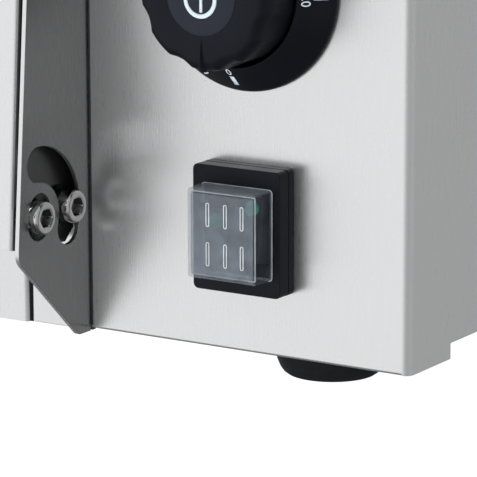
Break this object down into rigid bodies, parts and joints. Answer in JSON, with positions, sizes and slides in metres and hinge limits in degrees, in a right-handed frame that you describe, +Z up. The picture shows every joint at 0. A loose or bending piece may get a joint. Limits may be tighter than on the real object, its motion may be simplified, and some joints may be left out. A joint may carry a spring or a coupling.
{
  "type": "rotisserie oven",
  "caption": "Stainless counter-top rotisserie oven with a drop-down glass door on slotted hinge cheeks, a motor-driven spit, a slide-out drip tray and a column of knobs.",
  "frame": {"origin": "middle of the footprint at the level of the feet's soles (box bottom centre)", "axes": "+Z up, -Y towards the user (door and controls), +X to the user's right (control column)"},
  "size_m": [0.6, 0.4916, 0.389],
  "materials": {
    "brushed_steel": "vertical brushed grain, satin",
    "liner_steel": "dull rolled steel, lightly heat stained",
    "bright_steel": "polished",
    "element_sheath": "matt oxidised sheath",
    "black_plastic": "fine moulded satin",
    "dark_plastic": "matt",
    "rubber_feet": "matt moulded",
    "seal_silicone": "matt extruded",
    "door_glass": "clear, faint grey green",
    "clear_silicone": "clear flexible hood, slightly hazy",
    "zinc_steel": "zinc coated, matt"
  },
  "bodies": {
    "cabinet": {"control_panel": "brushed_steel", "front_frame": "brushed_steel", "right_side_panel": "brushed_steel", "left_side_panel": "brushed_steel", "top_cover": "brushed_steel", "rear_panel": "brushed_steel", "hinge_cheek_right": "brushed_steel", "hinge_cheek_left": "brushed_steel", "cavity_wrapper": "liner_steel", "cavity_left_wall": "liner_steel", "cavity_right_wall": "liner_steel", "spit_support": "liner_steel", "upper_heating_element": "element_sheath", "lower_heating_element": "element_sheath", "timer_bezel": "black_plastic", "thermostat_bezel": "black_plastic", "selector_bezel": "black_plastic", "switch_housing": "black_plastic", "power_inlet": "black_plastic", "timer_body": "dark_plastic", "thermostat_body": "dark_plastic", "selector_body": "dark_plastic", "foot_front_left": "rubber_feet", "foot_front_right": "rubber_feet", "foot_rear_left": "rubber_feet", "foot_rear_right": "rubber_feet", "switch_cover": "clear_silicone", "base_pan": "zinc_steel", "spit_motor": "zinc_steel"},
    "door": {"door_frame": "brushed_steel", "door_inner_panel": "brushed_steel", "outer_glass": "door_glass", "inner_glass": "door_glass", "door_gasket": "seal_silicone", "handle_bar": "bright_steel", "handle_post_left": "black_plastic", "handle_post_right": "black_plastic", "pivot_screw_left": "bright_steel", "pivot_washer_left": "bright_steel", "guide_screw_left": "bright_steel", "guide_washer_left": "bright_steel", "pivot_screw_right": "bright_steel", "pivot_washer_right": "bright_steel", "guide_screw_right": "bright_steel", "guide_washer_right": "bright_steel"},
    "spit": {"spit_rod": "bright_steel", "drive_coupling": "bright_steel"},
    "fork_left": {"spit_fork_left": "bright_steel", "fork_screw_left": "bright_steel"},
    "fork_right": {"spit_fork_right": "bright_steel", "fork_screw_right": "bright_steel"},
    "tray": {"drip_tray": "brushed_steel"},
    "timer_dial": {"timer_knob": "black_plastic", "timer_shaft": "zinc_steel"},
    "thermostat_dial": {"thermostat_knob": "black_plastic", "thermostat_shaft": "zinc_steel"},
    "selector_dial": {"selector_knob": "black_plastic", "selector_shaft": "zinc_steel"},
    "left_rocker": {"rocker_left": "dark_plastic"},
    "right_rocker": {"rocker_right": "dark_plastic"}
  },
  "joints": [
    {"name": "door_hinge", "type": "hinge", "parent": "cabinet", "child": "door", "pos_m": [-0.04476, -0.21374, 0.0486], "axis": [1, 0, 0], "range_deg": [0, 87]},
    {"name": "tray_slide", "type": "slide", "parent": "cabinet", "child": "tray", "axis": [0, -1, 0], "range_m": [0, 0.3]},
    {"name": "spit_spin", "type": "hinge", "parent": "cabinet", "child": "spit", "pos_m": [-0.04476, 0.01776, 0.204], "axis": [1, 0, 0], "continuous": true},
    {"name": "fork_left_slide", "type": "slide", "parent": "spit", "child": "fork_left", "axis": [1, 0, 0], "range_m": [-0.05, 0.06]},
    {"name": "fork_right_slide", "type": "slide", "parent": "spit", "child": "fork_right", "axis": [1, 0, 0], "range_m": [-0.06, 0.04]},
    {"name": "timer_turn", "type": "hinge", "parent": "cabinet", "child": "timer_dial", "pos_m": [0.2449, -0.19923, 0.1195], "axis": [0, 1, 0], "range_deg": [0, 270]},
    {"name": "thermostat_turn", "type": "hinge", "parent": "cabinet", "child": "thermostat_dial", "pos_m": [0.2449, -0.19923, 0.2145], "axis": [0, 1, 0], "range_deg": [0, 270]},
    {"name": "selector_turn", "type": "hinge", "parent": "cabinet", "child": "selector_dial", "pos_m": [0.2449, -0.19923, 0.3095], "axis": [0, 1, 0], "range_deg": [0, 270]},
    {"name": "rocker_left_tilt", "type": "hinge", "parent": "cabinet", "child": "left_rocker", "pos_m": [0.24055, -0.18724, 0.0477], "axis": [1, 0, 0], "range_deg": [-22, 0]},
    {"name": "rocker_right_tilt", "type": "hinge", "parent": "cabinet", "child": "right_rocker", "pos_m": [0.25085, -0.18724, 0.0477], "axis": [1, 0, 0], "range_deg": [0, 22]}
  ]
}
